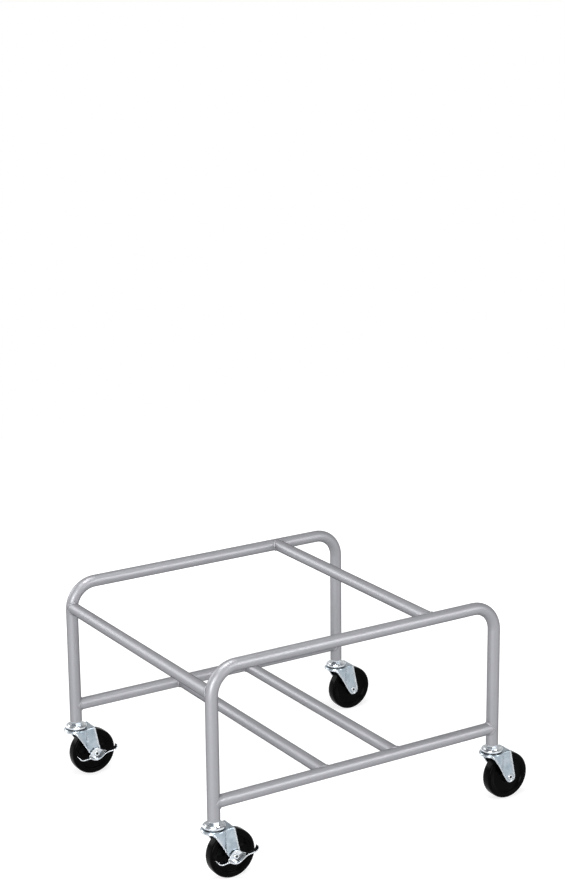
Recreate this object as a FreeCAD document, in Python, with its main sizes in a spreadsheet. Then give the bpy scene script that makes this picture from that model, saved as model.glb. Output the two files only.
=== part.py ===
"""Stacking chair trolley: a welded tube cradle on four swivel casters, two of them braked.

Millimetres, +Z up. X runs along the hoops, from the braked front end to the rear end, Y across
them, and the floor is Z = 0. The origin is on the floor, under the middle of the trolley.
"""

import FreeCAD, Part
import math
import os
import re

import Sketcher
from FreeCAD import Placement, Rotation, Vector

# Driving dimensions, each a cell of the sheet with its name as alias.
SIZES = {
    # Tube frame
    "leg_spacing": 670.0,
    "hoop_spacing": 590.0,
    "top_height": 433.0,
    "leg_foot": 126.0,
    "tube_dia": 25.4,
    "tube_wall": 1.6,
    "bend_radius": 54.0,
    "rail_height": 162.0,
    "cope_gap": 0.15,
    "cope_start": 2.5,
    "front_rail_height": 384.0,
    "front_cradle": 259.0,
    "rear_cradle": 428.0,
    "rear_top": 511.0,
    # Swivel head
    "insert_length": 30.0,
    "insert_fit": 0.05,
    "stem_dia": 11.8,
    "stem_length": 34.0,
    "stem_bevel": 1.5,
    "hex_flats": 19.0,
    "cap_top": 119.2,
    "cap_step_top": 117.4,
    "cap_skirt_top": 115.8,
    "cap_skirt": 113.0,
    "cap_radius": 22.6,
    "cap_shoulder": 20.8,
    "cap_step": 18.6,
    "cap_land": 17.4,
    "cap_wall": 1.8,
    "kingpin_dia": 12.0,
    "kingpin_play": 0.5,
    "kingpin_head": 8.5,
    "kingpin_head_depth": 4.5,
    "kingpin_bevel": 2.5,
    "race_inner": 8.5,
    "race_outer": 17.0,
    "race_depth": 3.0,
    "race_bevel": 1.0,
    "race_gap": 0.5,
    # Pressed fork
    "crown_top": 110.0,
    "crown_radius": 25.5,
    "crown_skirt": 104.5,
    "sheet": 2.5,
    "bend_outer": 2.4,
    "fork_width": 40.0,
    "fork_nose": 10.0,
    "nose_step": 6.0,
    "nose_lean": 0.4,
    "fork_shoulder": 99.5,
    "fork_back": 34.5,
    "eye_radius": 11.4,
    "rim_width": 2.6,
    "rim_height": 1.1,
    # Wheel and axle
    "trail": 35.0,
    "wheel_dia": 100.0,
    "tread_width": 25.0,
    "hub_width": 33.4,
    "hub_radius": 13.0,
    "hub_slope": 3.0,
    "web_width": 14.0,
    "web_bulge": 1.0,
    "ring_radius": 39.0,
    "ring_slope": 3.0,
    "ring_sink": 0.6,
    "tread_round": 4.8,
    "bushing_dia": 12.0,
    "bushing_play": 0.06,
    "axle_dia": 9.0,
    "axle_bore": 5.6,
    "axle_head": 12.4,
    "axle_head_wall": 1.5,
    "axle_head_edge": 0.5,
    "axle_head_bevel": 0.8,
    "seat_fit": 0.02,
    # Brake pedal
    "pedal_gap": 1.8,
    "pedal_sheet": 2.0,
    "pedal_lip": 10.5,
    "pedal_round": 7.0,
    "pedal_play": 0.08,
    "cam_radius": 8.2,
    "cam_wall": 1.4,
    "cam_bevel": 0.6,
    "pedal_end_play": 0.4,
}
# The brake lever from its front toe to its rear toe, as points of the lip's upper edge, and the
# plate that the lip is bent from, whose last four corners are rounded, in millimetres from the axle.
PEDAL_LIP = (
    (-44, 2), (-41, -2.5), (-32, -5), (-18, -4.5), (-9, -9), (2, -9.3),
    (14, -2), (27, 2.5), (39, 3.5), (44, 7), (45, 12),
)
PEDAL_PLATE = (
    (-19, -5.5), (-9, -10), (2, -10.3), (14, -3), (24, 1), (11.5, 6.5), (5, 12), (-5, 12), (-12.5, 4.5),
)
ROUNDED_CORNERS = PEDAL_PLATE[5:]

doc = FreeCAD.newDocument("chair_trolley")
sheet = doc.addObject("Spreadsheet::Sheet", "dims")
for row, (alias, value) in enumerate(SIZES.items(), 1):
    sheet.set(f"A{row}", alias.replace("_", " "))
    sheet.set(f"B{row}", str(value))
    sheet.setAlias(f"B{row}", alias)
doc.recompute()

S = SIZES
# Two places nearer than this are the same place.
CLOSE = 0.01
# How far round the bend the upper part of a cope is turned, in degrees.
COPE_SWEEP = 60.0
WHEEL_R = S["wheel_dia"] / 2
FORK_HALF = S["fork_width"] / 2
# Plan extents about the swivel axes: the crown in front, the trailing wheel behind.
FRONT_LEG = "(crown_radius - leg_spacing - trail - wheel_dia / 2) / 2"
sub_parts = []


def bound(expression):
    """The expression with every name read from the sheet."""
    return re.sub(r"[a-z][a-z_]*", lambda name: "dims." + name.group(), expression)


def bind(thing, **links):
    """Ties properties to sheet expressions; a double underscore stands for a dot."""
    for name, expression in links.items():
        thing.setExpression(name.replace("__", "."), bound(expression))


def place(thing, along="0", across="0", up="0", turn=None):
    """Puts a sub-part where the sheet says, turned by a fixed rotation."""
    if turn is not None:
        thing.Placement = Placement(Vector(), turn)
    bind(thing, Placement__Base__x=along, Placement__Base__y=across, Placement__Base__z=up)


def sub_part(thing, label):
    """Names a finished sub-part and lists it for writing."""
    thing.Label = label
    sub_parts.append(thing)
    return thing


def new_body(label):
    return doc.addObject("PartDesign::Body", "Body_" + label)


def origin_plane(body, role):
    return next(item for item in body.Origin.OriginFeatures if item.Role == role)


def new_sketch(body, plane, lift="0"):
    """A sketch on one of the body's own origin planes, lifted along its normal."""
    sketch = body.newObject("Sketcher::SketchObject", "Sketch_" + body.Name)
    sketch.AttachmentSupport = [(origin_plane(body, plane), "")]
    sketch.MapMode = "FlatFace"
    if lift != "0":
        bind(sketch, AttachmentOffset__Base__z=lift)
    return sketch


def outline(sketch, corners):
    """A closed outline of straight runs whose corners are pairs of sheet expressions."""
    count = len(corners)
    spots = []
    for i in range(count):
        angle = 2 * math.pi * i / count
        spots.append(Vector(30 + 10 * math.cos(angle), 30 + 10 * math.sin(angle), 0))
    first = sketch.GeometryCount
    for i in range(count):
        sketch.addGeometry(Part.LineSegment(spots[i], spots[(i + 1) % count]), False)
    for i, corner in enumerate(corners):
        edge = first + i
        following = first + (i + 1) % count
        sketch.addConstraint(Sketcher.Constraint("Coincident", edge, 2, following, 1))
        for kind, value, start in zip(("DistanceX", "DistanceY"), corner, spots[i]):
            made = sketch.addConstraint(Sketcher.Constraint(kind, -1, 1, edge, 1, start))
            sketch.setExpression(f"Constraints[{made}]", bound(value))


def ring(sketch, radius, across="0", up="0", initial=(0.0, 0.0)):
    """A circle with its radius and centre tied to the sheet."""
    spot = Vector(initial[0], initial[1], 0)
    edge = sketch.addGeometry(Part.Circle(spot, Vector(0, 0, 1), 5.0), False)
    made = sketch.addConstraint(Sketcher.Constraint("Radius", edge, 5.0))
    sketch.setExpression(f"Constraints[{made}]", bound(radius))
    for kind, value, start, axis in (("DistanceX", across, spot.x, -2), ("DistanceY", up, spot.y, -1)):
        if value == "0":
            sketch.addConstraint(Sketcher.Constraint("PointOnObject", edge, 3, axis))
        else:
            made = sketch.addConstraint(Sketcher.Constraint(kind, -1, 1, edge, 3, start))
            sketch.setExpression(f"Constraints[{made}]", bound(value))


def revolved(label, corners):
    """A body turned from one outline of (radius, height) corners about the sketch's upright axis."""
    body = new_body(label)
    sketch = new_sketch(body, "XZ_Plane")
    outline(sketch, corners)
    turned = body.newObject("PartDesign::Revolution", "Turned_" + label)
    turned.Profile = sketch
    turned.ReferenceAxis = (sketch, ["V_Axis"])
    turned.Angle = 360.0
    return sub_part(body, label)


def pad(body, sketch, length):
    feature = body.newObject("PartDesign::Pad", "Pad_" + body.Name)
    feature.Profile = sketch
    bind(feature, Length=length)
    return feature


def rounded(body, radius):
    """Rounds the two outermost circular edges of a turned body."""
    doc.recompute()
    base = body.Tip
    widest = max(edge.BoundBox.XLength for edge in base.Shape.Edges)
    rims = []
    for number, edge in enumerate(base.Shape.Edges, 1):
        if len(edge.Vertexes) == 1 and edge.BoundBox.XLength > widest - CLOSE:
            rims.append(f"Edge{number}")
    feature = body.newObject("PartDesign::Fillet", "Round_" + body.Name)
    feature.Base = (base, rims)
    bind(feature, Radius=radius)


def round_corners(body, corners, radius):
    """Rounds a flat plate's outline, drawn on XZ, at some of its corners."""
    doc.recompute()
    base = body.Tip
    turns = []
    for number, edge in enumerate(base.Shape.Edges, 1):
        ends = [vertex.Point for vertex in edge.Vertexes]
        for x, z in corners:
            if all(math.hypot(end.x - x, end.z - z) < CLOSE for end in ends):
                turns.append(f"Edge{number}")
    feature = body.newObject("PartDesign::Fillet", "Corners_" + body.Name)
    feature.Base = (base, turns)
    bind(feature, Radius=radius)


def pocket_through(body, sketch):
    feature = body.newObject("PartDesign::Pocket", "Pocket_" + body.Name)
    feature.Profile = sketch
    feature.Type = "ThroughAll"
    feature.Midplane = True
    return feature


# Hoops: each is one tube, bent twice, with its open ends over the casters.


def hoop(label, across):
    body = new_body(label)
    path = body.newObject("Sketcher::SketchObject", "Path_" + label)
    path.AttachmentSupport = [(origin_plane(body, "XZ_Plane"), "")]
    path.MapMode = "FlatFace"
    span, top, foot, bend = S["leg_spacing"], S["top_height"], S["leg_foot"], S["bend_radius"]
    left_centre = Vector(bend, top - bend, 0)
    right_centre = Vector(span - bend, top - bend, 0)
    normal = Vector(0, 0, 1)
    left_bend = Part.ArcOfCircle(Part.Circle(left_centre, normal, bend), math.pi / 2, math.pi)
    right_bend = Part.ArcOfCircle(Part.Circle(right_centre, normal, bend), 0, math.pi / 2)
    path.addGeometry(Part.LineSegment(Vector(0, foot, 0), Vector(0, top - bend, 0)), False)
    path.addGeometry(left_bend, False)
    path.addGeometry(Part.LineSegment(Vector(bend, top, 0), Vector(span - bend, top, 0)), False)
    path.addGeometry(right_bend, False)
    path.addGeometry(Part.LineSegment(Vector(span, top - bend, 0), Vector(span, foot, 0)), False)
    for before, end, after, start in ((0, 2, 1, 2), (1, 1, 2, 1), (2, 2, 3, 2), (3, 1, 4, 1)):
        path.addConstraint(Sketcher.Constraint("Tangent", before, end, after, start))
    path.addConstraint(Sketcher.Constraint("PointOnObject", 0, 1, -2))
    path.addConstraint(Sketcher.Constraint("Vertical", 0))
    path.addConstraint(Sketcher.Constraint("Horizontal", 2))
    path.addConstraint(Sketcher.Constraint("Vertical", 4))
    path.addConstraint(Sketcher.Constraint("Equal", 1, 3))
    driven = (
        (Sketcher.Constraint("DistanceY", -1, 1, 0, 1, foot), "leg_foot"),
        (Sketcher.Constraint("DistanceY", -1, 1, 4, 2, foot), "leg_foot"),
        (Sketcher.Constraint("DistanceX", -1, 1, 4, 2, span), "leg_spacing"),
        (Sketcher.Constraint("DistanceY", -1, 1, 2, 1, top), "top_height"),
        (Sketcher.Constraint("Radius", 1, bend), "bend_radius"),
    )
    for constraint, expression in driven:
        made = path.addConstraint(constraint)
        path.setExpression(f"Constraints[{made}]", bound(expression))
    section = new_sketch(body, "XY_Plane", "leg_foot")
    ring(section, "tube_dia / 2")
    ring(section, "tube_dia / 2 - tube_wall")
    tube = body.newObject("PartDesign::AdditivePipe", "Tube_" + label)
    tube.Profile = section
    tube.Spine = (path, [f"Edge{i}" for i in range(1, 6)])
    sub_part(body, label)
    place(body, FRONT_LEG, across)


def straight_tube(label, span):
    """A body that holds a tube along its own X, a little short of the span at both ends."""
    body = new_body(label)
    section = new_sketch(body, "YZ_Plane", "cope_start")
    ring(section, "tube_dia / 2")
    ring(section, "tube_dia / 2 - tube_wall")
    pad(body, section, f"{span} - 2 * cope_start")
    return body


def cope_circles(body, span, lift="0"):
    """A sketch with the outlines of the two tubes that a rail meets."""
    copes = new_sketch(body, "XY_Plane", lift)
    ring(copes, "tube_dia / 2 + cope_gap")
    ring(copes, "tube_dia / 2 + cope_gap", across=span, initial=(S["hoop_spacing"], 0.0))
    return copes


def coped_rail(label, span, along, across, up, turn):
    """A straight tube along its own X, coped at both ends to tubes that run along its own Z."""
    body = straight_tube(label, span)
    pocket_through(body, cope_circles(body, span))
    sub_part(body, label)
    place(body, along, across, up, turn)


def rail_under_bend(label, span, along, across, up, turn):
    """A rail between two legs at the height where they start to bend, coped to leg and bend."""
    body = straight_tube(label, span)
    bend_start = f"top_height - bend_radius - {up}"
    below = body.newObject("PartDesign::Pocket", "Leg_copes_" + label)
    below.Profile = cope_circles(body, span, bend_start)
    bind(below, Length="tube_dia")
    bends = cope_circles(body, span, bend_start)
    axis_side = -S["bend_radius"]
    start = Vector(0, axis_side, 0)
    axis = bends.addGeometry(Part.LineSegment(start, start + Vector(S["tube_dia"], 0, 0)), True)
    bends.addConstraint(Sketcher.Constraint("Horizontal", axis))
    bends.addConstraint(Sketcher.Constraint("PointOnObject", axis, 1, -2))
    made = bends.addConstraint(Sketcher.Constraint("DistanceY", axis, 1, -1, 1, S["bend_radius"]))
    bends.setExpression(f"Constraints[{made}]", bound("bend_radius"))
    above = body.newObject("PartDesign::Groove", "Bend_copes_" + label)
    above.Profile = bends
    above.ReferenceAxis = (bends, ["Axis0"])
    above.Angle = COPE_SWEEP
    sub_part(body, label)
    place(body, along, across, up, turn)


ALONG = Rotation()
AXLE_TURN = Rotation(Vector(1, 0, 0), -90)
ACROSS_ON_LEG = Rotation(Vector(0, 0, 1), 90)
ACROSS_ON_RAIL = Rotation(Vector(1, 1, 1), 120)
LEFT = "-hoop_spacing / 2"
RIGHT = "hoop_spacing / 2"

hoop("left_hoop", LEFT)
hoop("right_hoop", RIGHT)
coped_rail("left_side_rail", "leg_spacing", FRONT_LEG, LEFT, "rail_height", ALONG)
coped_rail("right_side_rail", "leg_spacing", FRONT_LEG, RIGHT, "rail_height", ALONG)
rail_under_bend(
    "front_upper_rail", "hoop_spacing", FRONT_LEG, LEFT, "front_rail_height", ACROSS_ON_LEG
)
for label, distance, height in (
    ("front_cradle_rail", "front_cradle", "rail_height"),
    ("rear_cradle_rail", "rear_cradle", "rail_height"),
    ("rear_top_rail", "rear_top", "top_height"),
):
    coped_rail(label, "hoop_spacing", f"{FRONT_LEG} + {distance}", LEFT, height, ACROSS_ON_RAIL)


# Swivel head: insert in the leg, stem with its hexagon and riveted kingpin, cap and two races.


def swivel_head(corner, along, across):
    bore = "tube_dia / 2 - tube_wall"
    insert = revolved(
        corner + "_insert",
        [
            ("stem_dia / 2 + insert_fit", "leg_foot"),
            (f"{bore} - insert_fit", "leg_foot"),
            (f"{bore} - insert_fit", "leg_foot + insert_length"),
            ("stem_dia / 2 + insert_fit", "leg_foot + insert_length"),
        ],
    )
    head_top = "crown_top - sheet - kingpin_play"
    stem = revolved(
        corner + "_stem",
        [
            ("0", "leg_foot + stem_length"),
            ("0", f"{head_top} - kingpin_head_depth"),
            ("kingpin_head - kingpin_bevel", f"{head_top} - kingpin_head_depth"),
            ("kingpin_head", f"{head_top} - kingpin_bevel"),
            ("kingpin_head", head_top),
            ("kingpin_dia / 2", head_top),
            ("kingpin_dia / 2", "cap_top"),
            ("stem_dia / 2", "cap_top"),
            ("stem_dia / 2", "leg_foot + stem_length - stem_bevel"),
            ("stem_dia / 2 - stem_bevel", "leg_foot + stem_length"),
        ],
    )
    hexagon = new_sketch(stem, "XY_Plane", "cap_top")
    half = "hex_flats / 2"
    point = "hex_flats / 3 ^ 0.5"
    outline(
        hexagon,
        [
            (point, "0"),
            (f"{point} / 2", half),
            (f"0 - {point} / 2", half),
            (f"0 - {point}", "0"),
            (f"0 - {point} / 2", f"0 - {half}"),
            (f"{point} / 2", f"0 - {half}"),
        ],
    )
    pad(stem, hexagon, "leg_foot - cap_top")
    cap = revolved(
        corner + "_swivel_cap",
        [
            ("kingpin_dia / 2", "cap_top - cap_wall"),
            ("cap_land - cap_wall / 2", "cap_top - cap_wall"),
            ("cap_step - cap_wall / 2", "cap_step_top - cap_wall"),
            ("cap_radius - cap_wall", "cap_skirt_top - cap_wall / 2"),
            ("cap_radius - cap_wall", "cap_skirt"),
            ("cap_radius", "cap_skirt"),
            ("cap_radius", "cap_skirt_top"),
            ("cap_shoulder", "cap_step_top"),
            ("cap_step", "cap_step_top"),
            ("cap_land", "cap_top"),
            ("kingpin_dia / 2", "cap_top"),
        ],
    )
    upper = revolved(
        corner + "_upper_race",
        [
            ("race_inner", "crown_top + race_depth"),
            ("race_outer - 3 * race_bevel", "crown_top + race_depth"),
            ("race_outer", "crown_top + race_depth - race_bevel"),
            ("race_outer", "cap_top - 2 * cap_wall"),
            ("race_outer - race_bevel", "cap_top - cap_wall"),
            ("race_inner", "cap_top - cap_wall"),
        ],
    )
    lower = revolved(
        corner + "_lower_race",
        [
            ("race_inner", "crown_top"),
            ("race_outer", "crown_top"),
            ("race_outer", "crown_top + race_depth - race_bevel - race_gap"),
            ("race_outer - 3 * race_bevel", "crown_top + race_depth - race_gap"),
            ("race_inner", "crown_top + race_depth - race_gap"),
        ],
    )
    for piece in (insert, stem, cap, upper, lower):
        place(piece, along, across)


# Fork: a pressed steel bell that becomes two legs, with its free edges pressed outwards.


def touching_point(outside, centre, radius, side):
    """Where a line from a point touches a circle, on one side of it."""
    reach = outside - centre
    angle = math.atan2(reach.y, reach.x) + side * math.acos(radius / reach.Length)
    return centre + Vector(radius * math.cos(angle), radius * math.sin(angle), 0)


def side_outline(name, inset="0"):
    """The fork seen from the side, drawn in from its real edge by the named inset."""
    drawn_in = S.get(inset, 0.0)
    sketch = doc.addObject("Sketcher::SketchObject", name)
    sketch.Placement = Placement(Vector(), Rotation(Vector(1, 0, 0), 90))
    centre = Vector(S["trail"], WHEEL_R, 0)
    radius = S["eye_radius"] - drawn_in
    top = S["crown_top"]
    front = Vector(drawn_in - S["fork_nose"], S["fork_shoulder"] + S["nose_lean"] * drawn_in, 0)
    back = Vector(S["fork_back"] - drawn_in, top, 0)
    front_touch = touching_point(front, centre, radius, 1)
    back_touch = touching_point(back, centre, radius, -1)
    skirt = S["crown_skirt"] + drawn_in
    start_angle = math.atan2(front_touch.y - centre.y, front_touch.x - centre.x)
    end_angle = math.atan2(back_touch.y - centre.y, back_touch.x - centre.x)
    eye = Part.ArcOfCircle(Part.Circle(centre, Vector(0, 0, 1), radius), start_angle, end_angle)
    nose = Vector(drawn_in - S["fork_nose"] - S["nose_step"], skirt, 0)
    past_crown = -S["crown_radius"] - S["sheet"]
    tip = Vector(past_crown, skirt, 0)
    crown = Vector(past_crown, top, 0)
    for start, end in ((back, crown), (crown, tip), (tip, nose), (nose, front), (front, front_touch)):
        sketch.addGeometry(Part.LineSegment(start, end), False)
    sketch.addGeometry(eye, False)
    sketch.addGeometry(Part.LineSegment(back_touch, back), False)
    for edge in range(4):
        sketch.addConstraint(Sketcher.Constraint("Coincident", edge, 2, edge + 1, 1))
    sketch.addConstraint(Sketcher.Constraint("Tangent", 4, 2, 5, 1))
    sketch.addConstraint(Sketcher.Constraint("Tangent", 5, 2, 6, 1))
    sketch.addConstraint(Sketcher.Constraint("Coincident", 6, 2, 0, 1))
    known = (
        (0, 1, back, f"fork_back - {inset}", "crown_top"),
        (1, 1, crown, "0 - crown_radius - sheet", "crown_top"),
        (2, 1, tip, "0 - crown_radius - sheet", f"crown_skirt + {inset}"),
        (3, 1, nose, f"{inset} - fork_nose - nose_step", f"crown_skirt + {inset}"),
        (4, 1, front, f"{inset} - fork_nose", f"fork_shoulder + nose_lean * {inset}"),
        (5, 3, centre, "trail", "wheel_dia / 2"),
    )
    for edge, end, spot, across, up in known:
        for kind, start, value in (("DistanceX", spot.x, across), ("DistanceY", spot.y, up)):
            made = sketch.addConstraint(Sketcher.Constraint(kind, -1, 1, edge, end, start))
            sketch.setExpression(f"Constraints[{made}]", bound(value))
    made = sketch.addConstraint(Sketcher.Constraint("Radius", 5, radius))
    sketch.setExpression(f"Constraints[{made}]", bound(f"eye_radius - {inset}"))
    return sketch


def plan_outline(name, offset="0", sign=1):
    """The fork seen from above, moved out from its outer face, or in, by the named offset."""
    sketch = doc.addObject("Sketcher::SketchObject", name)
    moved = sign * S.get(offset, 0.0)
    radius = S["crown_radius"] + moved
    half = FORK_HALF + moved
    meet = math.sqrt(radius**2 - half**2)
    far = S["trail"] + WHEEL_R
    angle = math.atan2(half, meet)
    bell = Part.ArcOfCircle(Part.Circle(Vector(), Vector(0, 0, 1), radius), angle, 2 * math.pi - angle)
    sketch.addGeometry(bell, False)
    sketch.addGeometry(Part.LineSegment(Vector(meet, -half, 0), Vector(far, -half, 0)), False)
    sketch.addGeometry(Part.LineSegment(Vector(far, -half, 0), Vector(far, half, 0)), False)
    sketch.addGeometry(Part.LineSegment(Vector(far, half, 0), Vector(meet, half, 0)), False)
    for edge, end, following, start in ((0, 2, 1, 1), (1, 2, 2, 1), (2, 2, 3, 1), (3, 2, 0, 1)):
        sketch.addConstraint(Sketcher.Constraint("Coincident", edge, end, following, start))
    sketch.addConstraint(Sketcher.Constraint("Coincident", 0, 3, -1, 1))
    sketch.addConstraint(Sketcher.Constraint("Horizontal", 1))
    sketch.addConstraint(Sketcher.Constraint("Symmetric", 1, 2, 2, 2, -1))
    driven = (
        (Sketcher.Constraint("Radius", 0, radius), f"crown_radius + {sign} * {offset}"),
        (Sketcher.Constraint("DistanceY", -1, 1, 3, 1, half), f"fork_width / 2 + {sign} * {offset}"),
        (Sketcher.Constraint("DistanceX", -1, 1, 3, 1, far), "trail + wheel_dia / 2"),
    )
    for constraint, expression in driven:
        made = sketch.addConstraint(constraint)
        sketch.setExpression(f"Constraints[{made}]", bound(expression))
    sketch.addConstraint(Sketcher.Constraint("Horizontal", 3))
    return sketch


def extruded(name, sketch, length, both_ways=False):
    feature = doc.addObject("Part::Extrusion", name)
    feature.Base = sketch
    feature.DirMode = "Normal"
    feature.Solid = True
    feature.Symmetric = both_ways
    bind(feature, LengthFwd=length)
    return feature


def cut(name, base, tool):
    feature = doc.addObject("Part::Cut", name)
    feature.Base = base
    feature.Tool = tool
    return feature


def common(name, *things):
    feature = doc.addObject("Part::MultiCommon", name)
    feature.Shapes = list(things)
    return feature


def round_bar(name, radius, height, along="0", across="0", up="0", turn=None):
    bar = doc.addObject("Part::Cylinder", name)
    bind(bar, Radius=radius, Height=height)
    place(bar, along, across, up, turn)
    return bar


def top_bends(shape):
    """Numbers of the crown's upper edges, apart from the cut one across its back."""
    numbers = []
    for number, edge in enumerate(shape.Edges, 1):
        box = edge.BoundBox
        if box.ZMin > S["crown_top"] - CLOSE and box.XLength > CLOSE:
            numbers.append(number)
    return numbers


def fork(corner, along, across):
    def named(part):
        return f"{corner}_fork_{part}"

    wide = "3 * crown_radius"
    side = extruded(named("side"), side_outline(named("side_edge")), wide, True)
    inset = side_outline(named("inset_edge"), "rim_width")
    inside = extruded(named("inset"), inset, wide, True)
    outer = extruded(named("outer"), plan_outline(named("outer_edge")), "crown_top")
    flared = extruded(named("flared"), plan_outline(named("flared_edge"), "rim_height"), "crown_top")
    wheel_bay = extruded(named("bay"), plan_outline(named("bay_edge"), "sheet", -1), "crown_top - sheet")
    block = common(named("block"), side, outer)
    bent = doc.addObject("Part::Fillet", named("bent"))
    bent.Base = block
    doc.recompute()
    bent.Edges = [(number, S["bend_outer"], S["bend_outer"]) for number in top_bends(block.Shape)]
    band = cut(named("band"), side, inside)
    trimmed_band = common(named("trimmed_band"), band, flared)
    below_crown = round_bar(named("rim_zone"), "3 * crown_radius", "crown_top - sheet")
    rim = common(named("rim"), trimmed_band, below_crown)
    solid = doc.addObject("Part::MultiFuse", named("solid"))
    solid.Shapes = [bent, rim]
    hollow = cut(named("hollow"), solid, wheel_bay)
    kingpin_hole = round_bar(named("kingpin_hole"), "kingpin_dia / 2 + kingpin_play", "crown_top + sheet")
    axle_hole = round_bar(
        named("axle_hole"),
        "axle_dia / 2 + seat_fit",
        "2 * fork_width",
        along="trail",
        across="0 - fork_width",
        up="wheel_dia / 2",
        turn=AXLE_TURN,
    )
    with_pin_hole = cut(named("with_pin_hole"), hollow, kingpin_hole)
    whole = cut(named("whole"), with_pin_hole, axle_hole)
    sub_part(whole, corner + "_fork")
    place(whole, along, across)


# Wheel, its bushing and the hollow rivet that is the axle.

INNER_HALF = "fork_width / 2 - sheet"


def wheel_set(corner, along, across, near_reach):
    centre_along = f"{along} + trail"
    bore = "bushing_dia / 2 + bushing_play"
    half_profile = [
        (bore, "hub_width / 2"),
        ("hub_radius", "hub_width / 2"),
        ("hub_radius + hub_slope", "web_width / 2 + web_bulge"),
        ("ring_radius - ring_slope", "web_width / 2"),
        ("ring_radius", "tread_width / 2 - ring_sink"),
        ("wheel_dia / 2 - tread_round - ring_sink", "tread_width / 2"),
        ("wheel_dia / 2", "tread_width / 2"),
    ]
    other_half = [(radius, f"0 - ({width})") for radius, width in reversed(half_profile)]
    wheel = revolved(corner + "_wheel", half_profile + other_half)
    rounded(wheel, "tread_round")
    bushing = revolved(
        corner + "_bushing",
        [
            ("axle_dia / 2 + seat_fit", INNER_HALF),
            ("bushing_dia / 2", INNER_HALF),
            ("bushing_dia / 2", f"0 - ({INNER_HALF})"),
            ("axle_dia / 2 + seat_fit", f"0 - ({INNER_HALF})"),
        ],
    )
    far_face = "fork_width / 2"
    near_face = f"0 - ({near_reach})"
    axle = revolved(
        corner + "_axle",
        [
            ("axle_bore / 2", f"{far_face} + axle_head_wall"),
            ("axle_head / 2 - axle_head_bevel", f"{far_face} + axle_head_wall"),
            ("axle_head / 2", f"{far_face} + axle_head_edge"),
            ("axle_head / 2", far_face),
            ("axle_dia / 2", far_face),
            ("axle_dia / 2", near_face),
            ("axle_head / 2", near_face),
            ("axle_head / 2", f"{near_face} - axle_head_edge"),
            ("axle_head / 2 - axle_head_bevel", f"{near_face} - axle_head_wall"),
            ("axle_bore / 2", f"{near_face} - axle_head_wall"),
        ],
    )
    for piece in (wheel, bushing, axle):
        place(piece, centre_along, across, "wheel_dia / 2", AXLE_TURN)


# Brake pedal: a pressed lever on the axle's near end, with a lip bent outwards for the toe.


def pedal(corner, along, across):
    body = new_body(corner + "_brake_pedal")
    plate = new_sketch(body, "XZ_Plane", "fork_width / 2 + pedal_gap")
    outline(plate, [(str(x), str(z)) for x, z in PEDAL_PLATE])
    ring(plate, "axle_dia / 2 + pedal_play")
    pad(body, plate, "pedal_sheet")
    round_corners(body, ROUNDED_CORNERS, "pedal_round")
    lip = new_sketch(body, "XZ_Plane", "fork_width / 2 + pedal_gap")
    upper = [Vector(x, z, 0) for x, z in PEDAL_LIP]
    over = Part.BSplineCurve()
    over.interpolate(upper)
    lower = []
    for spot in upper:
        tangent = Vector(over.tangent(over.parameter(spot))[0])
        lower.append(spot + Vector(tangent.y, -tangent.x, 0) * S["pedal_sheet"])
    under = Part.BSplineCurve()
    under.interpolate(lower)
    lip.addGeometry([over, under], False)
    lip.addGeometry(Part.LineSegment(upper[0], lower[0]), False)
    lip.addGeometry(Part.LineSegment(upper[-1], lower[-1]), False)
    for edge, end, line, start in ((0, 1, 2, 1), (1, 1, 2, 2), (0, 2, 3, 1), (1, 2, 3, 2)):
        lip.addConstraint(Sketcher.Constraint("Coincident", edge, end, line, start))
    pad(body, lip, "pedal_lip")
    sub_part(body, corner + "_brake_pedal")
    place(body, f"{along} + trail", across, "wheel_dia / 2")
    cam_face = "fork_width / 2"
    cam = revolved(
        corner + "_brake_cam",
        [
            ("axle_dia / 2 + seat_fit", f"0 - {cam_face}"),
            ("cam_radius", f"0 - {cam_face}"),
            ("cam_radius - cam_bevel", f"0 - {cam_face} - cam_wall"),
            ("axle_dia / 2 + seat_fit", f"0 - {cam_face} - cam_wall"),
        ],
    )
    place(cam, f"{along} + trail", across, "wheel_dia / 2", AXLE_TURN)


REAR_LEG = f"{FRONT_LEG} + leg_spacing"
PLAIN_END = "fork_width / 2"
BRAKED_END = "fork_width / 2 + pedal_gap + pedal_sheet + pedal_end_play"

for corner, along, across, braked in (
    ("front_left", FRONT_LEG, LEFT, True),
    ("front_right", FRONT_LEG, RIGHT, True),
    ("rear_left", REAR_LEG, LEFT, False),
    ("rear_right", REAR_LEG, RIGHT, False),
):
    swivel_head(corner, along, across)
    fork(corner, along, across)
    wheel_set(corner, along, across, BRAKED_END if braked else PLAIN_END)
    if braked:
        pedal(corner, along, across)

doc.recompute()
failed = [item.Name for item in doc.Objects if "Invalid" in item.State or "Error" in item.State]
if failed:
    raise RuntimeError(f"not built: {failed}")
for thing in sub_parts:
    if thing.Shape.isNull() or not thing.Shape.isValid():
        raise RuntimeError(f"bad shape: {thing.Label}")

os.makedirs("parts", exist_ok=True)
for thing in sub_parts:
    thing.Shape.exportStep(f"parts/{thing.Label}.step")
    box = thing.Shape.BoundBox
    low = f"{box.XMin:.1f} {box.YMin:.1f} {box.ZMin:.1f}"
    high = f"{box.XMax:.1f} {box.YMax:.1f} {box.ZMax:.1f}"
    print(f"{thing.Label}: {low} to {high}, volume {thing.Shape.Volume:.0f}")
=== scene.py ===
# %% [markdown]
# # A trolley for stacking chairs
# Four casters carry two bent tube hoops, and six straight tubes join them into a cradle.
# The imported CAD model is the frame: it gives every size and every moving body. This lesson
# adds what CAD leaves out, which is the weld at each joint, the moulded wheels and the
# finishes, and it sets up a plain studio to look at them.

# %% Load the frame
import math

import bmesh
import bpy
from mathutils import Matrix, Vector


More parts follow.
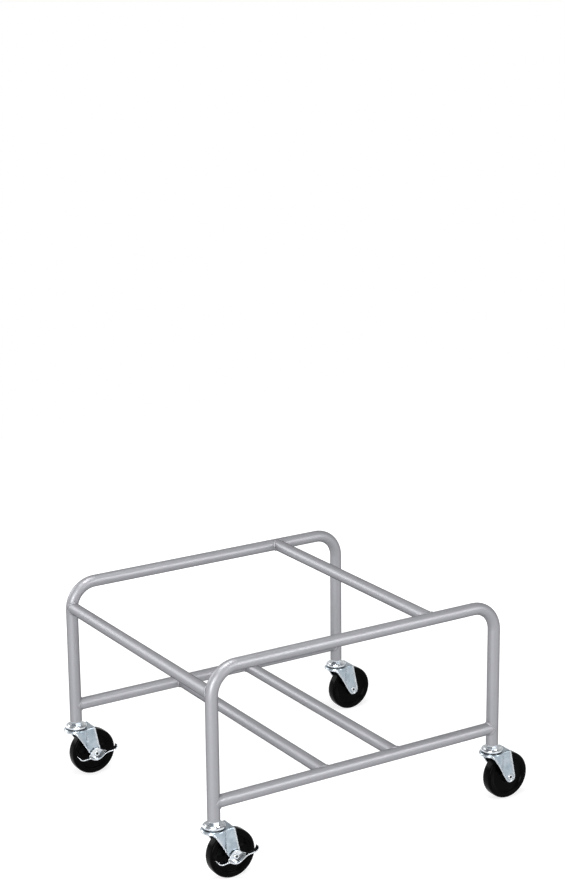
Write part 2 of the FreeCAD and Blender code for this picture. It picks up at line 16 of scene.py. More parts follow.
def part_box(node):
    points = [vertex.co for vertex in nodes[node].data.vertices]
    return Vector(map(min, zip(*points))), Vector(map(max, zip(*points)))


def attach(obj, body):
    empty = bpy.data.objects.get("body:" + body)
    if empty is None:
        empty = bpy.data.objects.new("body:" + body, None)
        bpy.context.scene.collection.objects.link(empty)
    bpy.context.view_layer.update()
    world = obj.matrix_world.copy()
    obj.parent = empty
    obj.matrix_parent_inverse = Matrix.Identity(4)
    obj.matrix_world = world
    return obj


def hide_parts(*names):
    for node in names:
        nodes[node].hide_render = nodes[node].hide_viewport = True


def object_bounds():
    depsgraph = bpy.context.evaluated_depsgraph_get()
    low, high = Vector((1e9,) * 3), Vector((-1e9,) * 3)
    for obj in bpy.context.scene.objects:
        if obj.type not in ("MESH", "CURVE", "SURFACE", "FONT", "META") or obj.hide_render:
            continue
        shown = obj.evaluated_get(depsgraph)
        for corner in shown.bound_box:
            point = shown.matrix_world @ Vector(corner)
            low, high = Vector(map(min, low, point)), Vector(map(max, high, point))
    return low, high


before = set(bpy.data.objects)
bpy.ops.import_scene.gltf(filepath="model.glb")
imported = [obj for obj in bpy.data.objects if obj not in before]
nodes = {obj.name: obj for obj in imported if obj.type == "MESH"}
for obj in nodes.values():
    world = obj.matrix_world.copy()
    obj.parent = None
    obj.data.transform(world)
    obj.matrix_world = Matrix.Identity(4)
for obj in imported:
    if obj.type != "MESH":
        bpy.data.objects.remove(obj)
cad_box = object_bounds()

CORNERS = ("front_left", "front_right", "rear_left", "rear_right")

# %% [markdown]
# ## The camera
# The picture is taken from in front and to the left, a little above the trolley, with a long
# lens. The angles were worked out from the trolley's known sizes, so the camera is placed by
# numbers and not by eye.

# %% Place the camera
YAW, PITCH, ROLL = math.radians(-31.830), math.radians(14.855), math.radians(-0.589)
CAMERA_PLACE = (-2.17901, -3.48195, 1.85213)
FOCAL_LENGTH, SENSOR_WIDTH = 85.0, 36.0
turn = Matrix.Rotation(YAW, 4, "Z") @ Matrix.Rotation(math.pi / 2 - PITCH, 4, "X")
camera = bpy.data.objects.new("camera", bpy.data.cameras.new("camera"))
camera.matrix_world = Matrix.Translation(CAMERA_PLACE) @ turn @ Matrix.Rotation(ROLL, 4, "Z")
camera.data.lens = FOCAL_LENGTH
camera.data.sensor_width = SENSOR_WIDTH
bpy.context.scene.collection.objects.link(camera)
bpy.context.scene.camera = camera
print("camera at", CAMERA_PLACE, "with a lens of", FOCAL_LENGTH, "mm")

# %% [markdown]
# ## A short way to write shader nodes
# A finish is a small network of nodes. One helper adds a node and fills its inputs, either
# with a value or with a link from an earlier node, so that each recipe reads as a list of
# steps from the pattern to the surface.

# %% Node helpers
def fill(tree, socket, value):
    """Links an input to a socket of an earlier node, or sets it to a plain value."""
    if isinstance(value, bpy.types.NodeSocket):
        tree.links.new(value, socket)
    else:
        socket.default_value = value


def add(tree, kind, settings=None, **inputs):
    """A new node with its inputs filled; an input is named, or numbered as in _0."""
    made = tree.nodes.new("ShaderNode" + kind)
    for name, value in (settings or {}).items():
        setattr(made, name, value)
    for name, value in inputs.items():
        place = int(name[1:]) if name[1:].isdigit() else name.replace("_", " ")
        fill(tree, made.inputs[place], value)
    return made


def sums(tree, operation, first, second=0.0, third=0.0):
    """One step of arithmetic on plain numbers or sockets."""
    return add(tree, "Math", {"operation": operation}, _0=first, _1=second, _2=third).outputs[0]


def spread(tree, value, low, high, out_low=0.0, out_high=1.0):
    """Stretches the part of a value between low and high to a new range, with soft ends."""
    made = add(tree, "MapRange", {"interpolation_type": "SMOOTHSTEP"})
    for place, number in enumerate((value, low, high, out_low, out_high)):
        fill(tree, made.inputs[place], number)
    return made.outputs[0]


def noise(tree, where, scale, detail=2.0, roughness=0.5):
    """Soft noise, whose scale is the number of patches in a metre."""
    made = add(tree, "TexNoise", None, Vector=where, Scale=scale, Detail=detail,
               Roughness=roughness)
    return made.outputs[0]


def effect(name, inputs, outputs, recipe):
    """A node group with named inputs and outputs, filled by its recipe."""
    tree = bpy.data.node_groups.new(name, "ShaderNodeTree")
    for socket, kind, value in inputs:
        made = tree.interface.new_socket(socket, in_out="INPUT", socket_type="NodeSocket" + kind)
        if value is not None:
            made.default_value = value
    for socket, kind in outputs:
        tree.interface.new_socket(socket, in_out="OUTPUT", socket_type="NodeSocket" + kind)
    given = tree.nodes.new("NodeGroupInput").outputs
    result = recipe(tree, given)
    end = tree.nodes.new("NodeGroupOutput")
    for socket, value in result.items():
        tree.links.new(value, end.inputs[socket])
    return tree


print("node helpers ready")

# %% [markdown]
# ## Effects that several finishes share
# Powder coat, zinc and moulded plastic look different, but the same things happen to all of
# them. Each has a fine grain, each has picked up a few scuffs, its edges are pale with wear,
# and a little dust has settled on what faces up. On zinc and on the black wheels the pale
# edges are also a painted highlight. The metal's inner corners are darkened with painted
# shade.
# Each of these is one node group that is placed in the materials with its own values. The
# edges are found by comparing the surface's direction with what it would be if the edge were
# rounded, and the inner corners by how much of the piece stands close around a point. All
# patterns read Object coordinates, which here are real metres.

# %% Grain, scuffs, dust, pale and highlit edges, and painted shade in corners
def grain_recipe(tree, given):
    """Fine and broad noise, and one height made of both."""
    fine = noise(tree, given["Vector"], given["Fine Scale"], 3.0, 0.6)
    broad = noise(tree, given["Vector"], given["Broad Scale"], 2.0, 0.5)
    height = sums(tree, "MULTIPLY_ADD", fine, 0.35, broad)
    return {"Fine": fine, "Broad": broad, "Height": height}


def scuff_recipe(tree, given):
    """Long thin lines, kept in a few patches."""
    stretched = add(tree, "Mapping", None, Vector=given["Vector"], Rotation=(0.5, 0.9, 0.35),
                    Scale=(1.0, 0.035, 0.2))
    lines = noise(tree, stretched.outputs[0], given["Scale"], 2.0, 0.65)
    patches = noise(tree, given["Vector"], 24.0, 3.0, 0.6)
    thin = spread(tree, lines, 0.62, 0.72)
    where = spread(tree, patches, given["Rarity"], sums(tree, "ADD", given["Rarity"], 0.12))
    return {"Mask": sums(tree, "MULTIPLY", thin, where)}


def dust_recipe(tree, given):
    """A patchy film on what faces up, and specks on every side."""
    facing = add(tree, "TexCoord").outputs["Normal"]
    up = add(tree, "SeparateXYZ", None, Vector=facing).outputs[2]
    lying = spread(tree, up, 0.35, 1.0)
    patchy = spread(tree, noise(tree, given["Vector"], 38.0, 4.0, 0.6), 0.3, 0.75)
    specks = spread(tree, noise(tree, given["Vector"], 900.0, 1.0, 0.5), 0.63, 0.72)
    some = sums(tree, "MULTIPLY", lying, sums(tree, "MULTIPLY_ADD", patchy, 0.7, 0.3))
    film = sums(tree, "MULTIPLY", some, given["Film"])
    spots = sums(tree, "MULTIPLY", specks, given["Specks"])
    return {"Mask": sums(tree, "MAXIMUM", film, spots)}


# The edge mask stands for wear, and on zinc and on the wheels also for a painted highlight.
def edge_recipe(tree, given):
    """Where rounding would turn the surface, and the direction it would turn it to."""
    rounded = add(tree, "Bevel", {"samples": 6}, Radius=given["Width"]).outputs[0]
    true = add(tree, "NewGeometry").outputs["Normal"]
    compared = add(tree, "VectorMath", {"operation": "DOT_PRODUCT"}, _0=rounded, _1=true)
    same = compared.outputs["Value"]
    edge_wear_and_highlight = spread(tree, sums(tree, "SUBTRACT", 1.0, same), 0.006, 0.10)
    uneven = spread(tree, noise(tree, given["Vector"], 300.0, 3.0, 0.6), 0.2, 0.55)
    return {"Mask": sums(tree, "MULTIPLY", edge_wear_and_highlight, uneven), "Normal": rounded}


# Painted shade: a mask that darkens the inner corners and creases of a piece.
def crevice_shade_recipe(tree, given):
    """Where the piece itself stands close around a point."""
    settings = {"samples": 6, "only_local": True}
    open_share = add(tree, "AmbientOcclusion", settings, Distance=given["Reach"]).outputs["AO"]
    deep = spread(tree, open_share, 0.5, 0.93, 1.0, 0.0)
    uneven = spread(tree, noise(tree, given["Vector"], 260.0, 3.0, 0.6), 0.2, 0.6, 0.4, 1.0)
    return {"Mask": sums(tree, "MULTIPLY", deep, uneven)}


WHERE = ("Vector", "Vector", None)
MASK = ("Mask", "Float")
GRAIN = effect(
    "grain", [WHERE, ("Fine Scale", "Float", 900.0), ("Broad Scale", "Float", 120.0)],
    [("Fine", "Float"), ("Broad", "Float"), ("Height", "Float")], grain_recipe,
)
SCUFFS = effect(
    "scuffs", [WHERE, ("Scale", "Float", 900.0), ("Rarity", "Float", 0.5)], [MASK],
    scuff_recipe,
)
DUST = effect(
    "settled_dust", [WHERE, ("Film", "Float", 0.2), ("Specks", "Float", 0.2)], [MASK],
    dust_recipe,
)
EDGES = effect(
    "rubbed_and_highlit_edges", [WHERE, ("Width", "Float", 0.0008)], [MASK, ("Normal", "Vector")],
    edge_recipe,
)
CREVICE_SHADE = effect(
    "painted_crevice_shade", [WHERE, ("Reach", "Float", 0.004)], [MASK], crevice_shade_recipe,
)
print("shared effects:", [group.name for group in bpy.data.node_groups])

# %% Start of a finish
MIX_FACTOR, MIX_FIRST, MIX_SECOND, MIX_RESULT = 0, 6, 7, 2


def place_effect(tree, group, **inputs):
    """A shared effect placed in a material, with that material's own values."""
    return add(tree, "Group", {"node_tree": group}, **inputs).outputs


def finish(name, recipe, **plain):
    """A material whose Principled shader has the plain values, and links from the recipe."""
    made = bpy.data.materials.new(name)
    made.use_nodes = True
    tree = made.node_tree
    shader = tree.nodes["Principled BSDF"]
    for socket, value in plain.items():
        shader.inputs[socket.replace("_", " ")].default_value = value
    where = add(tree, "TexCoord").outputs["Object"]
    for socket, value in recipe(tree, where).items():
        tree.links.new(value, shader.inputs[socket.replace("_", " ")])
    return made


def blend_colours(tree, mask, first, second):
    """The first colour where the mask is 0 and the second where it is 1."""
    made = add(tree, "Mix", {"data_type": "RGBA"})
    for place, value in ((MIX_FACTOR, mask), (MIX_FIRST, first), (MIX_SECOND, second)):
        fill(tree, made.inputs[place], (*value, 1.0) if isinstance(value, tuple) else value)
    return made.outputs[MIX_RESULT]


def bump(tree, height, strength, distance, rounded):
    """The surface's direction with its edges rounded and a fine relief on it."""
    made = add(tree, "Bump", None, Height=height, Strength=strength, Distance=distance,
               Normal=rounded)
    return made.outputs[0]


print("finish helpers ready")

# %% [markdown]
# ## Silver-grey powder coat
# The tubes are sprayed with a dry powder that holds fine aluminium flakes, and then baked.
# It gives a satin metallic grey with a faint orange peel, about 2 mm from bump to bump.
# It could be a plain grey paint, but then the long soft highlights on the tubes would be
# missing, so the shader is part metallic and its roughness changes from place to place.

# %% Make the powder coat
PAINT, FLAKE, CLOUD = (0.29, 0.292, 0.312), (0.36, 0.362, 0.384), (0.33, 0.332, 0.354)
SCUFFED_PAINT, WORN_PAINT = (0.56, 0.56, 0.57), (0.52, 0.52, 0.54)
PAINT_CREVICE_SHADE, PAINT_DUST = (0.12, 0.115, 0.11), (0.50, 0.49, 0.47)


def powder_coat(tree, where):
    """Flakes and slow clouds under scuffs, edges pale with wear, painted shade in inner corners,
    and dust.
    """
    grain = place_effect(tree, GRAIN, Vector=where, Fine_Scale=2600.0, Broad_Scale=420.0)
    scuffs = place_effect(tree, SCUFFS, Vector=where, Scale=700.0, Rarity=0.56)["Mask"]
    dust = place_effect(tree, DUST, Vector=where, Film=0.10, Specks=0.12)["Mask"]
    cloud = noise(tree, where, 9.0, 3.0, 0.55)
    flakes = spread(tree, grain["Fine"], 0.35, 0.7)
    base = blend_colours(tree, flakes, PAINT, FLAKE)
    base = blend_colours(tree, spread(tree, cloud, 0.35, 0.7, 0.0, 0.5), base, CLOUD)
    edges = place_effect(tree, EDGES, Vector=where, Width=0.0006)
    base = blend_colours(tree, sums(tree, "MULTIPLY", scuffs, 0.35), base, SCUFFED_PAINT)
    base = blend_colours(tree, sums(tree, "MULTIPLY", edges["Mask"], 0.4), base, WORN_PAINT)
    # Painted shade: the coat is darkened in its inner corners.
    crevice_shade_mask = place_effect(tree, CREVICE_SHADE, Vector=where, Reach=0.002)["Mask"]
    base = blend_colours(tree, sums(tree, "MULTIPLY", crevice_shade_mask, 0.6), base, PAINT_CREVICE_SHADE)
    base = blend_colours(tree, dust, base, PAINT_DUST)
    rough = spread(tree, grain["Broad"], 0.3, 0.7, 0.41, 0.50)
    rough = sums(tree, "MULTIPLY_ADD", scuffs, -0.06, rough)
    rough = sums(tree, "MULTIPLY_ADD", dust, 0.3, rough)
    relief = bump(tree, grain["Height"], strength=0.12, distance=0.0004,
                  rounded=edges["Normal"])
    return {"Base Color": base, "Roughness": rough, "Normal": relief}


POWDER_COAT = finish("powder_coat", powder_coat, Metallic=0.65,
                     Specular_Tint=(0.0, 0.0, 0.0, 1.0), Specular_IOR_Level=0.0)
print("made", POWDER_COAT.name)

# %% [markdown]
# ## Bright zinc
# The casters are pressed from steel strip and zinc plated. Fresh zinc is nearly a mirror with
# a cold blue tint. The rolling of the strip leaves fine lines, the plating bath leaves pale
# clouds, and handling leaves thin scratches, so tint and roughness both change slowly.

# %% Make the zinc, the rivets and the greased races
# Near-white tint for scuffs, and for the painted highlight on the edges.
RUBBED_AND_HIGHLIT_ZINC = (0.90, 0.92, 0.94)
ZINC_CREVICE_SHADE, ZINC_DUST = (0.10, 0.095, 0.09), (0.52, 0.51, 0.49)


def zinc_like(light, shade, rough_low, rough_high, lines, edge_width=0.0009):
    """A recipe for a plated or turned metal between two tints and two roughnesses."""

    def recipe(tree, where):
        grain = place_effect(tree, GRAIN, Vector=where, Fine_Scale=3200.0, Broad_Scale=150.0)
        scuffs = place_effect(tree, SCUFFS, Vector=where, Scale=1400.0, Rarity=0.47)["Mask"]
        edges = place_effect(tree, EDGES, Vector=where, Width=edge_width)
        dust = place_effect(tree, DUST, Vector=where, Film=0.12, Specks=0.15)["Mask"]
        cloud = spread(tree, noise(tree, where, 60.0, 4.0, 0.6), 0.3, 0.7)
        drawn = add(tree, "Mapping", None, Vector=where, Scale=(lines, lines, lines * 0.04))
        rolled = noise(tree, drawn.outputs[0], 1.0, 3.0, 0.6)
        base = blend_colours(tree, cloud, light, shade)
        base = blend_colours(tree, sums(tree, "MULTIPLY", scuffs, 0.35), base, RUBBED_AND_HIGHLIT_ZINC)
        # Painted highlight: the edges are lifted towards near-white as if they caught the light.
        edge_wear_and_highlight = sums(tree, "MULTIPLY", edges["Mask"], 0.85)
        base = blend_colours(tree, edge_wear_and_highlight, base, RUBBED_AND_HIGHLIT_ZINC)
        # Painted shade: the zinc is darkened in its inner corners and creases.
        crevice_shade_mask = place_effect(tree, CREVICE_SHADE, Vector=where, Reach=0.005)["Mask"]
        base = blend_colours(tree, sums(tree, "MULTIPLY", crevice_shade_mask, 0.7), base, ZINC_CREVICE_SHADE)
        base = blend_colours(tree, dust, base, ZINC_DUST)
        dull = sums(tree, "MULTIPLY_ADD", rolled, 0.6, sums(tree, "MULTIPLY", cloud, 0.4))
        rough = spread(tree, dull, 0.3, 0.75, rough_low, rough_high)
        rough = sums(tree, "MULTIPLY_ADD", dust, 0.35, rough)
        height = sums(tree, "MULTIPLY_ADD", rolled, 0.5, grain["Height"])
        relief = bump(tree, height, strength=0.10, distance=0.0003, rounded=edges["Normal"])
        return {"Base Color": base, "Roughness": rough, "Normal": relief}

    return recipe


METALS = {
    # The forks' edges get a wide band of painted highlight.
    "pressed_zinc": zinc_like((0.40, 0.455, 0.505), (0.28, 0.34, 0.39), 0.14, 0.30, 900.0, 0.0032),
    # The caps and the pedal are the same zinc as the forks. Their paler tint is painted light, as
    # on faces turned up to the lamps.
    "painted_lit_zinc": zinc_like((0.64, 0.67, 0.70), (0.50, 0.54, 0.58), 0.10, 0.22, 900.0),
    "rivet_zinc": zinc_like((0.56, 0.59, 0.62), (0.42, 0.45, 0.49), 0.14, 0.28, 1400.0),
    "race_steel": zinc_like((0.34, 0.34, 0.35), (0.20, 0.19, 0.18), 0.18, 0.34, 1800.0),
}
PRESSED_ZINC, PAINTED_LIT_ZINC, RIVET_ZINC, RACE_STEEL = (
    finish(name, recipe, Metallic=1.0) for name, recipe in METALS.items()
)
print("made", *METALS)

# %% [markdown]
# ## Moulded plastics
# The wheels are hard black plastic with a satin shine, and they carry a little floor dust.
# The same recipe in other tints makes the nylon bushings and the inserts in the tube ends.

# %% Make the plastics
PLASTIC_DUST = (0.30, 0.29, 0.27)


def moulded(tint, worn_and_highlit, rough, dust_film):
    """A recipe for a moulded plastic of one tint with paler scuffed places, and edges made paler
    as wear and as a painted highlight.
    """

    def recipe(tree, where):
        grain = place_effect(tree, GRAIN, Vector=where, Fine_Scale=1900.0, Broad_Scale=210.0)
        scuffs = place_effect(tree, SCUFFS, Vector=where, Scale=1000.0, Rarity=0.45)["Mask"]
        dust = place_effect(tree, DUST, Vector=where, Film=dust_film, Specks=dust_film)["Mask"]
        deeper = tuple(part * 0.8 for part in tint)
        base = blend_colours(tree, spread(tree, grain["Broad"], 0.3, 0.7), tint, deeper)
        edges = place_effect(tree, EDGES, Vector=where, Width=0.0010)
        base = blend_colours(tree, sums(tree, "MULTIPLY", scuffs, 0.5), base, worn_and_highlit)
        # Paler edges: wear, and on the black wheels a painted highlight along the rims.
        base = blend_colours(tree, sums(tree, "MULTIPLY", edges["Mask"], 0.7), base, worn_and_highlit)
        base = blend_colours(tree, dust, base, PLASTIC_DUST)
        roughness = spread(tree, grain["Broad"], 0.3, 0.7, rough - 0.05, rough + 0.05)
        roughness = sums(tree, "MULTIPLY_ADD", scuffs, 0.15, roughness)
        roughness = sums(tree, "MULTIPLY_ADD", dust, 0.4, roughness)
        relief = bump(tree, grain["Height"], strength=0.10, distance=0.0003,
                      rounded=edges["Normal"])
        return {"Base Color": base, "Roughness": roughness, "Normal": relief}

    return recipe


wheel_black = moulded((0.0012, 0.0012, 0.0014), (0.012, 0.012, 0.014), 0.20, 0.008)
BLACK_PLASTIC = finish("black_plastic", wheel_black, Specular_IOR_Level=0.03)
bushing_white = moulded((0.72, 0.70, 0.63), (0.80, 0.79, 0.74), 0.42, 0.05)
NYLON = finish("natural_nylon", bushing_white)
insert_black = moulded((0.03, 0.03, 0.03), (0.06, 0.06, 0.06), 0.5, 0.05)
INSERT_PLASTIC = finish("insert_plastic", insert_black)
print("made", BLACK_PLASTIC.name, NYLON.name, INSERT_PLASTIC.name)

# %% [markdown]
# ## Finish for every CAD node
# The nodes are named by what they are, so the words at the end of a node's name are enough
# to choose its finish.

# %% Give the nodes their finishes
NODE_FINISH = {
    "hoop": POWDER_COAT, "rail": POWDER_COAT, "insert": INSERT_PLASTIC, "bushing": NYLON,
    "stem": RIVET_ZINC, "axle": RIVET_ZINC, "swivel_cap": PAINTED_LIT_ZINC, "fork": PRESSED_ZINC,
    "brake_pedal": PAINTED_LIT_ZINC, "brake_cam": PRESSED_ZINC, "wheel": BLACK_PLASTIC,
    "race": RACE_STEEL,
}
for name, node in nodes.items():
    material = next(value for ending, value in NODE_FINISH.items() if name.endswith(ending))
    for place in node.material_slots:
        place.material = material
print("finished nodes:", len(nodes))

# %% [markdown]
# ## Mesh helpers
# Every new piece starts as a bmesh, is shaped by bmesh operators, and becomes an object at
# the origin with its place in its mesh.

# %% From bmesh to piece
MM = 0.001
MERGE_DISTANCE = 0.001 * MM


def piece(name, shape, body, material):
    """A finished piece from a bmesh: faces outwards, smooth, riding on its body."""
    bmesh.ops.remove_doubles(shape, verts=shape.verts, dist=MERGE_DISTANCE)
    bmesh.ops.recalc_face_normals(shape, faces=shape.faces)
    mesh = bpy.data.meshes.new(name)
    shape.to_mesh(mesh)
    shape.free()
    mesh.shade_smooth()
    mesh.materials.append(material)
    made = bpy.data.objects.new(name, mesh)
    bpy.context.scene.collection.objects.link(made)
    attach(made, body)
    return made


print("sizes in mm are multiplied by", MM)

# %% [markdown]
# ## Weld beads
# Where a rail meets another tube the welder runs one bead all round it. The bead climbs over
# the other tube, so its line is a saddle and not a circle, and it has ripples about 2 mm
# apart where the pool of metal froze step by step. A bead could be a swept curve, but a ring
# that is spun first and then laid onto the saddle keeps its ripples even. Its vertices are
# moved by one rule: how far round the rail they are, and where they are in the bead.

# %% Sizes read from the frame
low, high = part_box("left_hoop")
TUBE_R = (high.y - low.y) / 2
LEG_X = {"front": low.x + TUBE_R, "rear": high.x - TUBE_R}


def middle(name):
    """The middle of a node's box."""
    return (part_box(name)[0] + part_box(name)[1]) / 2


SIDE_Y = {side: sum(corner.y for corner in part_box(f"{side}_hoop")) / 2
          for side in ("left", "right")}
RAIL_Z = middle("left_side_rail").z
print("tubes %.1f mm across, legs at %s, hoops at %s" % (2 * TUBE_R / MM, LEG_X, SIDE_Y))

# %% One weld bead
BEAD_R = 2.3 * MM
BEAD_SIDES = 12
RIPPLE = 2.1 * MM
SADDLE_LENGTH = 1.2  # the saddle's line against a plain circle round the rail
RIPPLES = round(2 * math.pi * TUBE_R * SADDLE_LENGTH / RIPPLE)
STEPS = RIPPLES * 4
FLANK = 0.16  # keeps the tube's surface from standing upright beside the rail
CRESCENT = 0.35  # how far a ripple curves back, in ripples
MEAN_SIZE, RIPPLE_SIZE = 0.95, 0.14
SLOW_SWAY, QUICK_SWAY = 0.10, 0.06
CROWN, CORNER_CROWN = 0.62, 0.30
CORNER_WIDTH = 0.15
CORNER_LIFT = 0.25 * MM
NEARLY_FLAT = 0.3  # rail and tube surface in line, so that the bead lies along the rail
FLUSH_Z = cad_box[1].z - 0.05 * MM  # a dressed bead stands no higher than the hoops


def laid_on_saddle(spot, seed):
    """Where a point of the plain spun ring goes on the saddle between rail and tube.

    The ring lies round the local Z, the rail runs down from it, and the tube runs along X.
    """
    around = math.atan2(spot.y, spot.x)
    out = math.hypot(spot.x, spot.y) - TUBE_R
    along = spot.z
    reach = math.hypot(TUBE_R * math.cos(around), FLANK * TUBE_R)
    on_rail = Vector((math.cos(around), math.sin(around), 0))
    on_tube = Vector((0, math.sin(around), reach / -TUBE_R)).normalized()
    lean = (on_rail + on_tube).normalized()
    step = (around / (2 * math.pi) + 0.5) * RIPPLES
    inside = math.hypot(out, along) / BEAD_R
    crescent = step - CRESCENT * (along / BEAD_R) ** 2
    ripple = abs(math.sin(math.pi * crescent)) - 0.5
    slow = math.sin(around * 3 + seed) * SLOW_SWAY
    quick = math.sin(around * 7 + 2.3 * seed) * QUICK_SWAY
    size = inside * BEAD_R * (MEAN_SIZE + RIPPLE_SIZE * ripple + (slow + quick))
    angle = math.atan2(along, out)
    corner = 1 - abs(on_rail.dot(on_tube))
    height = size * math.cos(angle) * (CROWN + CORNER_CROWN * corner)
    width = size * math.sin(angle) * (1.0 + CORNER_WIDTH * corner)
    across = on_rail - on_tube
    across = across.normalized() if across.length > NEARLY_FLAT else Vector((0, 0, 1))
    foot = Vector((TUBE_R * math.cos(around), TUBE_R * math.sin(around), -reach))
    return foot + lean * (height + CORNER_LIFT * corner) + across * width


def weld(name, centre, rail_way, tube_way, seed):
    """A rippled bead round the end of a rail, laid where the rail meets the other tube."""
    shape = bmesh.new()
    made = bmesh.ops.create_circle(shape, segments=BEAD_SIDES, radius=BEAD_R)
    stand = Matrix.Translation((TUBE_R, 0, 0)) @ Matrix.Rotation(math.pi / 2, 4, "X")
    bmesh.ops.transform(shape, matrix=stand, verts=made["verts"])
    bmesh.ops.spin(shape, geom=shape.edges[:], cent=(0, 0, 0), axis=(0, 0, 1), angle=2 * math.pi,
                   steps=STEPS, use_merge=True)
    for vertex in shape.verts:
        vertex.co = laid_on_saddle(vertex.co, seed)
    side_way = rail_way.cross(tube_way)
    frame_of_joint = Matrix((tube_way, side_way, rail_way)).transposed().to_4x4()
    frame_of_joint.translation = centre
    bmesh.ops.transform(shape, matrix=frame_of_joint, verts=shape.verts)
    for vertex in shape.verts:
        vertex.co.z = min(vertex.co.z, FLUSH_Z)
    return piece(name, shape, "frame", POWDER_COAT)


print(RIPPLES, "ripples in a bead, drawn in", STEPS, "steps")

# %% Weld all the joints
X, Y, Z = Vector((1, 0, 0)), Vector((0, 1, 0)), Vector((0, 0, 1))
welds = []
for side, out in (("left", -Y), ("right", Y)):
    y = SIDE_Y[side]
    for end, way in (("front", -X), ("rear", X)):
        where = Vector((LEG_X[end], y, RAIL_Z))
        welds.append(weld(f"{side}_{end}_leg_weld", where, way, Z, len(welds)))
    for rail in ("front_cradle_rail", "rear_cradle_rail", "rear_top_rail", "front_upper_rail"):
        centre = middle(rail)
        where = Vector((centre.x, y, centre.z))
        tube_way = Z if rail == "front_upper_rail" else X
        welds.append(weld(f"{side}_{rail}_weld", where, out, tube_way, len(welds)))
print(len(welds), "welds of", len(welds[0].data.polygons), "faces each")

# %% [markdown]
# ## Moulded wheels
# The real wheel is injection moulded: a hub, a thin web and a thick rim, with soft corners
# where the mould was rounded, fine rings turned into the mould, and a parting line round the
# middle of the tread. Half of the section is drawn once as a line of points, mirrored, and
# spun round the axle.

# %% Wheel profile
HUB_FACE, RIM_FACE = 16.7, 12.5
# Half of the wheel's section in mm, from the bore to the tread: radius, and distance from
# the middle plane.
HALF_PROFILE = (
    (6.06, 15.9), (6.9, HUB_FACE), (12.3, HUB_FACE), (13.0, 16.1), (14.4, 10.6), (15.6, 8.9),
    (17.2, 8.15), (20.0, 8.0), (28.0, 7.55), (33.6, 7.2), (35.2, 7.25), (36.3, 7.9),
    (38.0, 10.9),
    (38.9, 11.8), (40.2, 11.95), (40.5, 12.05), (42.2, 12.25), (42.5, 12.05), (42.9, 12.05),
    (43.2, 12.35), (44.6, RIM_FACE), (46.4, 12.2), (48.0, 11.4), (49.2, 10.0), (49.85, 8.2),
    (50.0, 6.5), (49.98, 0.7), (50.0, 0.45), (50.0, 0.2),
)
WHEEL_STEPS = 144


def wheel(corner):
    """A wheel spun round the Y axis and set on its corner's axle."""
    shape = bmesh.new()
    line = [(r, y) for r, y in HALF_PROFILE] + [(r, -y) for r, y in reversed(HALF_PROFILE)]
    spots = [shape.verts.new((r * MM, y * MM, 0)) for r, y in line]
    for first, second in zip(spots, spots[1:] + spots[:1]):
        shape.edges.new((first, second))
    bmesh.ops.spin(shape, geom=shape.verts[:] + shape.edges[:], cent=(0, 0, 0), axis=(0, 1, 0),
                   angle=2 * math.pi, steps=WHEEL_STEPS, use_merge=True)
    bmesh.ops.translate(shape, vec=middle(f"{corner}_wheel"), verts=shape.verts)
    made = piece(f"{corner}_wheel_moulding", shape, f"{corner}_roller",
                 BLACK_PLASTIC)
    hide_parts(f"{corner}_wheel")
    return made


wheels = [wheel(corner) for corner in CORNERS]
print(len(wheels), "wheels of", len(wheels[0].data.polygons), "faces each")

# %% [markdown]
# ## The studio
# The trolley stands on a plain white floor in front of plain white. The floor is lit like
# the trolley, and for the camera and for reflections it glows as much as it needs to be
# white, so it still shows the soft shadow under the wheels. The lamps are large and soft.

# %% Floor, backdrop and lamps
FLOOR_HALF = 3.0
SHADOW_REACH, PLAIN_FROM = 0.7, 1.5  # metres; the floor turns plain white between them
NEAR_GLOW = 0.72
CEILING = 0.5  # how bright metal sees the backdrop overhead
AMBIENT = 0.12  # how much the backdrop lights
AIM = (0, 0, 0.25)
LAMPS = (
    ("left_lamp", (-2.7, -1.9, 1.2), (1.5, 2.0), 75.0),
    ("right_lamp", (1.3, -2.9, 1.6), (1.6, 1.6), 48.0),
    ("back_lamp", (-1.7, 2.6, 1.5), (1.8, 1.6), 40.0),
    ("top_lamp", (-0.5, -0.3, 2.6), (1.2, 1.2), 44.0),
)


def seen_directly(tree):
    """1 for rays from the camera, and for rays that metal or glass send on."""
    path = add(tree, "LightPath").outputs
    seen = sums(tree, "MAXIMUM", path["Is Camera Ray"], path["Is Glossy Ray"])
    return sums(tree, "MAXIMUM", seen, path["Is Transmission Ray"])


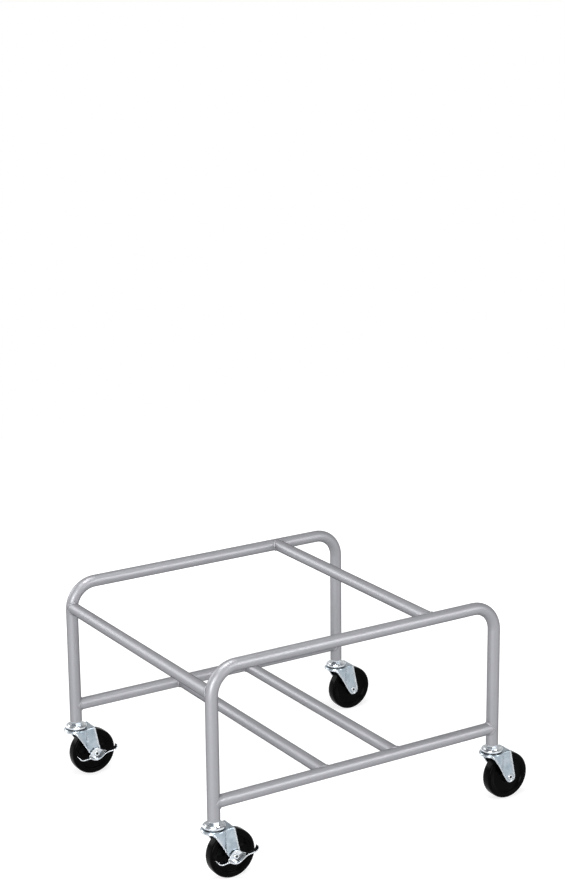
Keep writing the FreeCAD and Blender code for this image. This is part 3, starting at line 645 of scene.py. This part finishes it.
def floor_finish():
    """Grey that takes the shadow, and a glow that lifts it to white; far off only white."""
    made = bpy.data.materials.new("studio_floor")
    made.use_nodes = True
    tree = made.node_tree
    tree.nodes.remove(tree.nodes["Principled BSDF"])
    where = add(tree, "TexCoord").outputs["Object"]
    distance = add(tree, "VectorMath", {"operation": "LENGTH"}, _0=where).outputs["Value"]
    far = spread(tree, distance, SHADOW_REACH, PLAIN_FROM)
    lit = add(tree, "BsdfDiffuse", None, Color=(0.45, 0.45, 0.45, 1.0))
    strength = sums(tree, "MULTIPLY_ADD", far, 1.0 - NEAR_GLOW, NEAR_GLOW)
    strength = sums(tree, "MULTIPLY", seen_directly(tree), strength)
    glow = add(tree, "Emission", None, Color=(1.0, 1.0, 1.0, 1.0), Strength=strength)
    both = add(tree, "AddShader", None, _0=lit.outputs[0], _1=glow.outputs[0])
    tree.links.new(both.outputs[0], tree.nodes["Material Output"].inputs["Surface"])
    return made


shape = bmesh.new()
bmesh.ops.create_grid(shape, x_segments=2, y_segments=2, size=FLOOR_HALF)
mesh = bpy.data.meshes.new("floor")
shape.to_mesh(mesh)
shape.free()
mesh.materials.append(floor_finish())
floor = bpy.data.objects.new("floor", mesh)
bpy.context.scene.collection.objects.link(floor)

world = bpy.data.worlds.new("studio")
world.use_nodes = True
bpy.context.scene.world = world
tree = world.node_tree
background = tree.nodes["Background"]
background.inputs["Color"].default_value = (1.0, 1.0, 1.0, 1.0)
path = add(tree, "LightPath").outputs
way = add(tree, "SeparateXYZ", None, Vector=add(tree, "TexCoord").outputs["Generated"]).outputs
ceiling = spread(tree, way[2], 0.15, 0.6, 1.0, CEILING)
sent_on = sums(tree, "MAXIMUM", path["Is Glossy Ray"], path["Is Transmission Ray"])
seen = sums(tree, "MAXIMUM", path["Is Camera Ray"], sums(tree, "MULTIPLY", sent_on, ceiling))
lit = sums(tree, "MULTIPLY", path["Is Diffuse Ray"], AMBIENT)
tree.links.new(sums(tree, "MAXIMUM", seen, lit), background.inputs["Strength"])


def lamp(name, place, size, power):
    """A large soft lamp that looks at the trolley."""
    made = bpy.data.objects.new(name, bpy.data.lights.new(name, "AREA"))
    made.data.shape = "RECTANGLE"
    made.data.size, made.data.size_y = size
    made.data.energy = power
    look = (Vector(AIM) - Vector(place)).to_track_quat("-Z", "Y")
    made.matrix_world = Matrix.Translation(place) @ look.to_matrix().to_4x4()
    made.visible_camera = False
    bpy.context.scene.collection.objects.link(made)
    return made


for name, place, size, power in LAMPS:
    lamp(name, place, size, power)
bpy.context.scene.view_settings.view_transform = "Standard"
print("studio ready with", len(LAMPS), "lamps")
